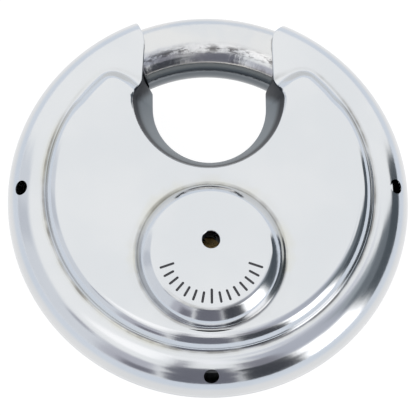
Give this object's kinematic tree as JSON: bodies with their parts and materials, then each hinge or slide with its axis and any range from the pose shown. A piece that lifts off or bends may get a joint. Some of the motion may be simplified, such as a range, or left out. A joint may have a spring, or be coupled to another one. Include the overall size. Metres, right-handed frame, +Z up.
{
  "type": "disc padlock",
  "caption": "Round disc padlock: two polished steel shells with a notch, a shackle bar that turns out of the rim when the key plug turns, and a pin tumbler cylinder.",
  "frame": {"origin": "centre of the disc, on the flat of the front boss that the lock lies on", "axes": "+Z up, out of the rear face; +Y towards the shackle; the keyway is underneath"},
  "size_m": [0.07, 0.0685, 0.024],
  "materials": {
    "polished_steel": "mirror polished stainless steel",
    "hardened_steel": "plain ground steel",
    "spring_steel": "bright spring wire",
    "brass": "turned brass",
    "zinc_casting": "as-cast zinc alloy"
  },
  "bodies": {
    "casing": {"rear_shell": "polished_steel", "front_shell": "polished_steel", "inner_body": "zinc_casting", "cylinder_housing": "brass", "anti_drill_plate": "hardened_steel", "chamber_cover": "hardened_steel", "pin_spring_1": "spring_steel", "pin_spring_2": "spring_steel", "pin_spring_3": "spring_steel", "pin_spring_4": "spring_steel"},
    "shackle": {"shackle": "polished_steel", "drive_arm": "hardened_steel", "arm_rivet_1": "hardened_steel", "arm_rivet_2": "hardened_steel"},
    "plug": {"key_plug": "brass", "cam_lever": "hardened_steel", "crank_pin": "hardened_steel", "retaining_clip": "spring_steel"},
    "key_pin_1": {"key_pin_1": "brass"},
    "driver_pin_1": {"driver_pin_1": "hardened_steel"},
    "key_pin_2": {"key_pin_2": "brass"},
    "driver_pin_2": {"driver_pin_2": "hardened_steel"},
    "key_pin_3": {"key_pin_3": "brass"},
    "driver_pin_3": {"driver_pin_3": "hardened_steel"},
    "key_pin_4": {"key_pin_4": "brass"},
    "driver_pin_4": {"driver_pin_4": "hardened_steel"}
  },
  "joints": [
    {"name": "shackle_turn", "type": "hinge", "parent": "casing", "child": "shackle", "pos_m": [0, 0, 0], "axis": [0, 0, 1], "range_deg": [-52, 0]},
    {"name": "plug_turn", "type": "hinge", "parent": "casing", "child": "plug", "pos_m": [0, -0.01035, 0], "axis": [0, 0, 1], "range_deg": [-130, 0]},
    {"name": "key_pin_1_slide", "type": "slide", "parent": "plug", "child": "key_pin_1", "axis": [0, 1, 0], "range_m": [0, 0.0011]},
    {"name": "key_pin_2_slide", "type": "slide", "parent": "plug", "child": "key_pin_2", "axis": [0, 1, 0], "range_m": [0, 0.0011]},
    {"name": "key_pin_3_slide", "type": "slide", "parent": "plug", "child": "key_pin_3", "axis": [0, 1, 0], "range_m": [0, 0.0011]},
    {"name": "key_pin_4_slide", "type": "slide", "parent": "plug", "child": "key_pin_4", "axis": [0, 1, 0], "range_m": [0, 0.0011]},
    {"name": "driver_pin_1_slide", "type": "slide", "parent": "casing", "child": "driver_pin_1", "axis": [0, -1, 0], "range_m": [0, 0.0012], "stiffness_N_per_m": 50, "springref_m": -0.002, "deforming": ["pin_spring_1"]},
    {"name": "driver_pin_2_slide", "type": "slide", "parent": "casing", "child": "driver_pin_2", "axis": [0, -1, 0], "range_m": [0, 0.0012], "stiffness_N_per_m": 50, "springref_m": -0.002, "deforming": ["pin_spring_2"]},
    {"name": "driver_pin_3_slide", "type": "slide", "parent": "casing", "child": "driver_pin_3", "axis": [0, -1, 0], "range_m": [0, 0.0012], "stiffness_N_per_m": 50, "springref_m": -0.002, "deforming": ["pin_spring_3"]},
    {"name": "driver_pin_4_slide", "type": "slide", "parent": "casing", "child": "driver_pin_4", "axis": [0, -1, 0], "range_m": [0, 0.0012], "stiffness_N_per_m": 50, "springref_m": -0.002, "deforming": ["pin_spring_4"]}
  ],
  "couplings": [
    {"joint": "plug_turn", "follows": "shackle_turn", "ratio": 2.5}
  ]
}
